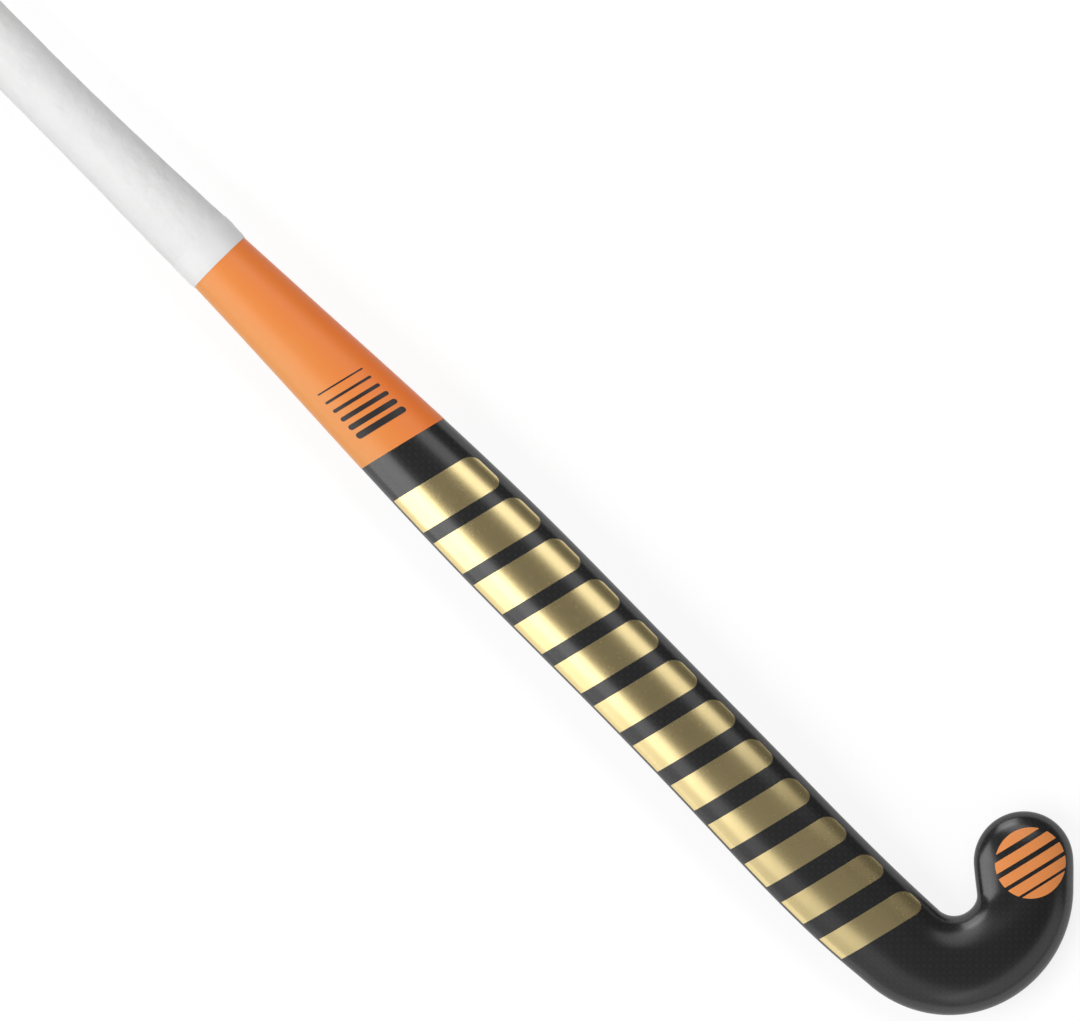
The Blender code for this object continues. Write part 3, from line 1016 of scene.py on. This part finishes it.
def make_bars(material):
    """Slanted gold bars down the back, narrower and further apart towards the head."""
    widths = np.linspace(FIRST_BAR, LAST_BAR, BAR_COUNT)
    room = BARS_FROM_BASE - BARS_TO_BASE - widths.sum()
    spaces = np.linspace(1.0, SPACE_GROWTH, BAR_COUNT - 1)
    spaces = spaces * room / spaces.sum()
    films = []
    upper = BARS_FROM_BASE
    for width, space in zip(widths, [*spaces, 0.0]):
        films.append(bar_film(upper - width, width, BAR_TOE_END, BAR_HEEL_END, BAR_CORNER))
        upper -= width + space
    add_films("gold_bars", films, material)


def make_dashes(material):
    """Dark dashes on the orange band, thinner towards the handle."""
    films = []
    for i, width in enumerate(np.linspace(FIRST_DASH, LAST_DASH, DASH_COUNT)):
        start = DASHES_FROM_BASE + DASH_PITCH * i - width / 2
        corner = DASH_ROUND * width
        films.append(bar_film(start, width, DASH_REACH, -DASH_REACH, corner, True, OVER_FILM))
    add_films("band_dashes", films, material)


def head_height(x, y):
    """Height of the back over the head's face, at points of the head seen from above."""
    turn_x = x + HOOK_FROM_BASE
    turn_y = y - HOOK_RADIUS
    turn = np.clip(np.arctan2(turn_x, -turn_y), 0, HOOK_TURN)
    end_x, end_y, across_x, across_y = spine(TURN_END)
    past = (x - end_x) * across_y - (y - end_y) * across_x
    on_toe = TURN_END - np.minimum(past, TOE_LENGTH)
    place = np.where(past > 0, on_toe, HOOK_FROM_BASE - turn * HOOK_RADIUS)
    beside_toe = (x - end_x) * across_x + (y - end_y) * across_y
    aside = np.where(past > 0, beside_toe, HOOK_RADIUS - np.hypot(turn_x, turn_y))
    away = np.hypot(aside - offset_at(place), np.maximum(past - TOE_LENGTH, 0))
    low = edge_height_at(place)
    power = fullness_at(place)
    share = np.clip(away / (width_at(place) / 2), 0, 1)
    return low + (thickness_at(place) - low) * (1 - share ** power) ** (1 / power) + bow(-x)


def make_mark(material):
    """Round mark on the toe: bars of a disc, parallel to the gold ones."""
    films = []
    tilt = math.atan(SLANT)
    way = np.array([math.sin(tilt), math.cos(tilt)])
    over = np.array([-math.cos(tilt), math.sin(tilt)])
    slits = MARK_SLIT + MARK_GROWTH * np.arange(MARK_BARS - 1)
    bar = (2 * MARK_RADIUS - slits.sum()) / MARK_BARS
    low = -MARK_RADIUS
    for slit in [*slits, 0.0]:
        start = math.acos(np.clip(-low / MARK_RADIUS, -1, 1))
        end = math.acos(np.clip(-(low + bar) / MARK_RADIUS, -1, 1))
        rows = -MARK_RADIUS * np.cos(np.linspace(start, end, MARK_ROWS))
        half = np.sqrt(np.maximum(MARK_RADIUS ** 2 - rows ** 2, MARK_LEAST ** 2))
        spread = np.linspace(-1, 1, MARK_COLUMNS)
        x = MARK_CENTRE[0] + way[0] * half[:, None] * spread + over[0] * rows[:, None]
        y = MARK_CENTRE[1] + way[1] * half[:, None] * spread + over[1] * rows[:, None]
        slope_x = (head_height(x + PROBE, y) - head_height(x - PROBE, y)) / (2 * PROBE)
        slope_y = (head_height(x, y + PROBE) - head_height(x, y - PROBE)) / (2 * PROBE)
        points = np.stack([x, y, head_height(x, y)], axis=-1)
        normals = np.stack([-slope_x, -slope_y, np.ones_like(x)], axis=-1)
        normals = normals / np.linalg.norm(normals, axis=-1, keepdims=True)
        films.append(film(points[:, ::-1], normals[:, ::-1]))
        low += bar + slit
    add_films("toe_mark", films, material)


def ease(share):
    """Smooth step from 0 to 1."""
    share = np.clip(share, 0, 1)
    return share * share * (3 - 2 * share)


def wrap_height(place, ring):
    """Height of the wrap's outside over the shell, eased down at its end, with faint laps."""
    side, stretch, share = ring
    turn = np.where(side > 0, 1, -1) * 0.25 * np.where(stretch == BACK, 1 - share * 0.5, 1.0)
    lap = ((place - GRIP_END) / LAP_PITCH + turn) % 1.0
    crown = LAP_RISE * (np.sin(math.pi * lap) ** LAP_POWER - LAP_MIDDLE)
    full = GAP + GRIP_THICKNESS + crown
    away, _ = section(place, ring)
    toe = 0.5 + 0.5 * side * away / (width_at(place) / 2)
    run = HEEL_EASE + (TOE_EASE - HEEL_EASE) * ease(toe)
    eased = ease((place - GRIP_END + EASE_BEFORE) / run)
    return WRAP_END_HEIGHT + (full - WRAP_END_HEIGHT) * eased


def sleeve(places, outer, inner):
    """Closed sleeve round the shell between two heights."""
    ring = whole_ring()
    rows, columns = len(places), len(ring[0])
    outside = layer(places[:, None], ring, outer(places[:, None], ring))
    inside = layer(places[:, None], ring, inner(places[:, None], ring))
    points = np.concatenate([outside.reshape(-1, 3), inside.reshape(-1, 3)])
    count = rows * columns
    faces = grid_faces(rows, columns, True)
    faces += grid_faces(rows, columns, True, count, True)
    for c in range(columns):
        d = (c + 1) % columns
        last = (rows - 1) * columns
        faces.append((c, d, d + count, c + count))
        faces.append((last + d, last + c, last + c + count, last + d + count))
    return points, faces


def make_wrap(material):
    """Wound grip, from the tape to the end cap."""
    places = np.concatenate([
        stations(GRIP_END, GRIP_END + WRAP_END_RUN, GRIP_END_STEP),
        stations(GRIP_END + WRAP_END_RUN, SHELL_END, GRIP_STEP)[1:],
    ])
    points, faces = sleeve(places, wrap_height, lambda place, ring: np.full(place.shape, GAP))
    add_piece("grip", make_mesh("grip", points, faces), material, "grip_wrap")


def tape_height(place, ring):
    """Height of the tape's underside: on the wrap, and drawn down onto the shaft past its end."""
    on_wrap = wrap_height(np.maximum(place, GRIP_END), ring) + TAPE_OVER_WRAP
    eased = ease((place - GRIP_END + TAPE_ON_SHAFT) / TAPE_ON_SHAFT)
    return TAPE_FOOT + (on_wrap - TAPE_FOOT) * eased


def tape_top(place, ring):
    """Height of the tape's outside."""
    return tape_height(place, ring) + TAPE_FILM


def make_tape(material):
    """Finishing tape over the end of the wrap."""
    places = stations(GRIP_END - TAPE_ON_SHAFT, GRIP_END + TAPE_ON_GRIP, TAPE_STEP)
    points, faces = sleeve(places, tape_top, tape_height)
    add_piece("tape", make_mesh("tape", points, faces), material, "finishing_tape")


def make_cap(material):
    """Rubber plug: spigot, flange and a rounded end with a shallow ring moulded in it."""
    ring = whole_ring()
    flange = GAP + GRIP_THICKNESS
    steps = [
        (LENGTH - CAP_FLANGE - CAP_SPIGOT, -(WALL + GAP)),
        (LENGTH - CAP_FLANGE, -(WALL + GAP)),
        (LENGTH - CAP_FLANGE, flange - CAP_SLOPE),
        (LENGTH - CAP_FLANGE + CAP_SLOPE, flange),
    ]
    for i in range(ROUND_STEPS + 1):
        angle = math.pi / 2 * i / ROUND_STEPS
        place = LENGTH - CAP_ROUND * (1 - math.sin(angle))
        steps.append((place, flange - CAP_ROUND * (1 - math.cos(angle))))
    inner = flange - CAP_ROUND
    for run, drop in CAP_RING:
        steps.append((LENGTH - drop, inner - run))
    rings = [layer(np.array([[place]]), ring, np.array(height))[0] for place, height in steps]
    rows, columns = len(rings), len(ring[0])
    points = np.concatenate(rings)
    faces = grid_faces(rows, columns, True)
    faces.append(tuple(range(columns)))
    faces.append(tuple(reversed(range((rows - 1) * columns, rows * columns))))
    add_piece("butt_cap", make_mesh("butt_cap", points, faces), material, "end_cap")


def dress_inner_nodes():
    """Finishes of the pieces inside the shell, which keep their solids."""
    laminate = raw_material("bare_laminate", *LAMINATE)
    filling = raw_material("raw_filling", *FILLING)
    foam = raw_material("raw_foam", *FOAM)
    finishes = {
        "head_core": filling,
        "toe_side_tube": laminate,
        "heel_side_tube": laminate,
        "toe_side_foam": foam,
        "heel_side_foam": foam,
    }
    for name, material in finishes.items():
        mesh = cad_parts[name].data
        mesh.materials.clear()
        mesh.materials.append(material)


def make_floor():
    """Pale floor that runs far out and up into a low rim, white in view and in reflections."""
    profile = [(FLOOR_REACH * (i / FLOOR_RINGS) ** 2, 0.0) for i in range(1, FLOOR_RINGS + 1)]
    for angle in np.linspace(RIM_START, math.pi / 2, RIM_STEPS):
        profile.append((FLOOR_REACH + RIM * math.sin(angle), RIM - RIM * math.cos(angle)))
    turns = [2 * math.pi * i / FLOOR_SIDES for i in range(FLOOR_SIDES)]
    ways = [(math.cos(turn), math.sin(turn)) for turn in turns]
    points = [(r * x, r * y, height) for r, height in profile for x, y in ways]
    faces = [tuple(range(FLOOR_SIDES))] + grid_faces(len(profile), FLOOR_SIDES, True)
    mesh = bpy.data.meshes.new("floor")
    mesh.from_pydata(points, [], faces)
    mesh.materials.append(floor_material())
    add_object("floor", mesh, (0, 0, -FLOOR_DROP))


def seen_directly(tree):
    """1 where a ray comes from the view, from a reflection or through something clear, else 0."""
    path = node(tree, "ShaderNodeLightPath")
    seen = calc(tree, "MAXIMUM", path.outputs["Is Camera Ray"], path.outputs["Is Glossy Ray"])
    return calc(tree, "MAXIMUM", seen, path.outputs["Is Transmission Ray"])


def floor_material():
    """Matt pale floor, white to the view and to reflections, and clear from below."""
    material, tree = new_material("pale_floor")
    tree.nodes.clear()
    place = node(tree, "ShaderNodeTexCoord").outputs["Object"]
    radius = node(tree, "ShaderNodeVectorMath", operation="LENGTH", inputs={0: place})
    ends = {0: radius.outputs["Value"], 1: GLOW_FROM, 2: GLOW_TO, 3: NEAR_GLOW, 4: FAR_GLOW}
    strength = node(tree, "ShaderNodeMapRange", inputs=ends).outputs[0]
    strength = calc(tree, "MULTIPLY", strength, seen_directly(tree))
    glow = node(tree, "ShaderNodeEmission", inputs={"Color": WHITE, "Strength": strength})
    matt = node(tree, "ShaderNodeBsdfDiffuse", inputs={"Color": FLOOR_GREY})
    both = node(tree, "ShaderNodeAddShader", inputs={0: glow.outputs[0], 1: matt.outputs[0]})
    clear = node(tree, "ShaderNodeBsdfTransparent")
    below = node(tree, "ShaderNodeNewGeometry").outputs["Backfacing"]
    sides = {0: below, 1: both.outputs[0], 2: clear.outputs[0]}
    mixed = node(tree, "ShaderNodeMixShader", inputs=sides)
    node(tree, "ShaderNodeOutputMaterial", inputs={"Surface": mixed.outputs[0]})
    return material


def add_light(name, size, brightness, place, turn):
    """Soft light that the view doesn't show, with the brightness of its face."""
    data = bpy.data.lights.new(name, "AREA")
    data.shape = "RECTANGLE"
    data.size, data.size_y = size
    data.energy = brightness * math.pi * data.size * data.size_y
    light = add_object(name, data, place)
    light.rotation_euler = turn
    light.visible_camera = False


def add_softbox(name, angles, start, end, brightness):
    """Softbox that runs along the stick, between two angles from overhead to the toe side."""
    near, far = (math.radians(angle) for angle in angles)
    middle = (near + far) / 2
    width = 2 * SOFTBOX_DISTANCE * math.tan(abs(far - near) / 2)
    place = (
        (start + end) / 2,
        SOFTBOX_DISTANCE * math.sin(middle) + ORIGIN.y,
        SOFTBOX_DISTANCE * math.cos(middle),
    )
    add_light(name, (end - start, width), brightness, place, (-middle, 0, 0))


def add_end_light(name, place, size, brightness):
    """Softbox beyond one end of the stick, turned to the stick."""
    turn = (Vector(LIT_POINT) - Vector(place)).to_track_quat("-Z", "Y").to_euler()
    add_light(name, size, brightness, place, turn)


def make_light():
    """Softboxes over both sides, over the head and beyond both ends, in dim air."""
    for i, (start, end, high, low) in enumerate(HEEL_LIGHTS):
        add_softbox(f"heel_softbox_{i}", HIGH_ANGLES, start, end, high)
        add_softbox(f"low_softbox_{i}", LOW_ANGLES, start, end, low)
    for name, settings in LONG_LIGHTS.items():
        add_softbox(name, *settings)
    for name, settings in END_LIGHTS.items():
        add_end_light(name, *settings)
    make_air()


def make_air():
    """Dim light from all round, white in view behind a stick that is seen from under the floor."""
    world = bpy.data.worlds.new("studio")
    world.use_nodes = True
    tree = world.node_tree
    path = node(tree, "ShaderNodeLightPath")
    through_floor = calc(tree, "MINIMUM", path.outputs["Transparent Depth"], 1.0)
    white = calc(tree, "MULTIPLY", path.outputs["Is Camera Ray"], through_floor)
    fill(tree, tree.nodes["Background"], {"Color": WHITE, "Strength": mix(tree, white, AIR, 1.0)})
    bpy.context.scene.world = world


def make_camera():
    """Camera straight above the stick, turned as the photograph is."""
    data = bpy.data.cameras.new("camera")
    data.sensor_width = SENSOR
    data.lens = LENS
    data.clip_end = CLIP_END
    x, y, z = VIEW_MIDDLE
    camera = add_object("camera", data, (x, y, z + VIEW_WIDTH * LENS / SENSOR))
    camera.rotation_euler = (0, 0, VIEW_TURN)
    bpy.context.scene.camera = camera


def main():
    """Builds the camera, the light, the floor and the pieces."""
    bpy.context.scene.view_settings.view_transform = "Standard"
    make_camera()
    make_light()
    make_floor()
    orange = paint_material("orange_paint", *ORANGE_PAINT_WITH_PAINTED_SHADE)
    black = paint_material("black_paint", *BLACK_PAINT)
    ink = paint_material("orange_ink", *ORANGE_INK)
    make_shell(carbon_material())
    make_band(orange)
    make_bars(gold_material())
    make_dashes(black)
    make_mark(ink)
    make_wrap(grip_material())
    make_tape(tape_material())
    make_cap(raw_material("cap_rubber", *RUBBER))
    dress_inner_nodes()


main()
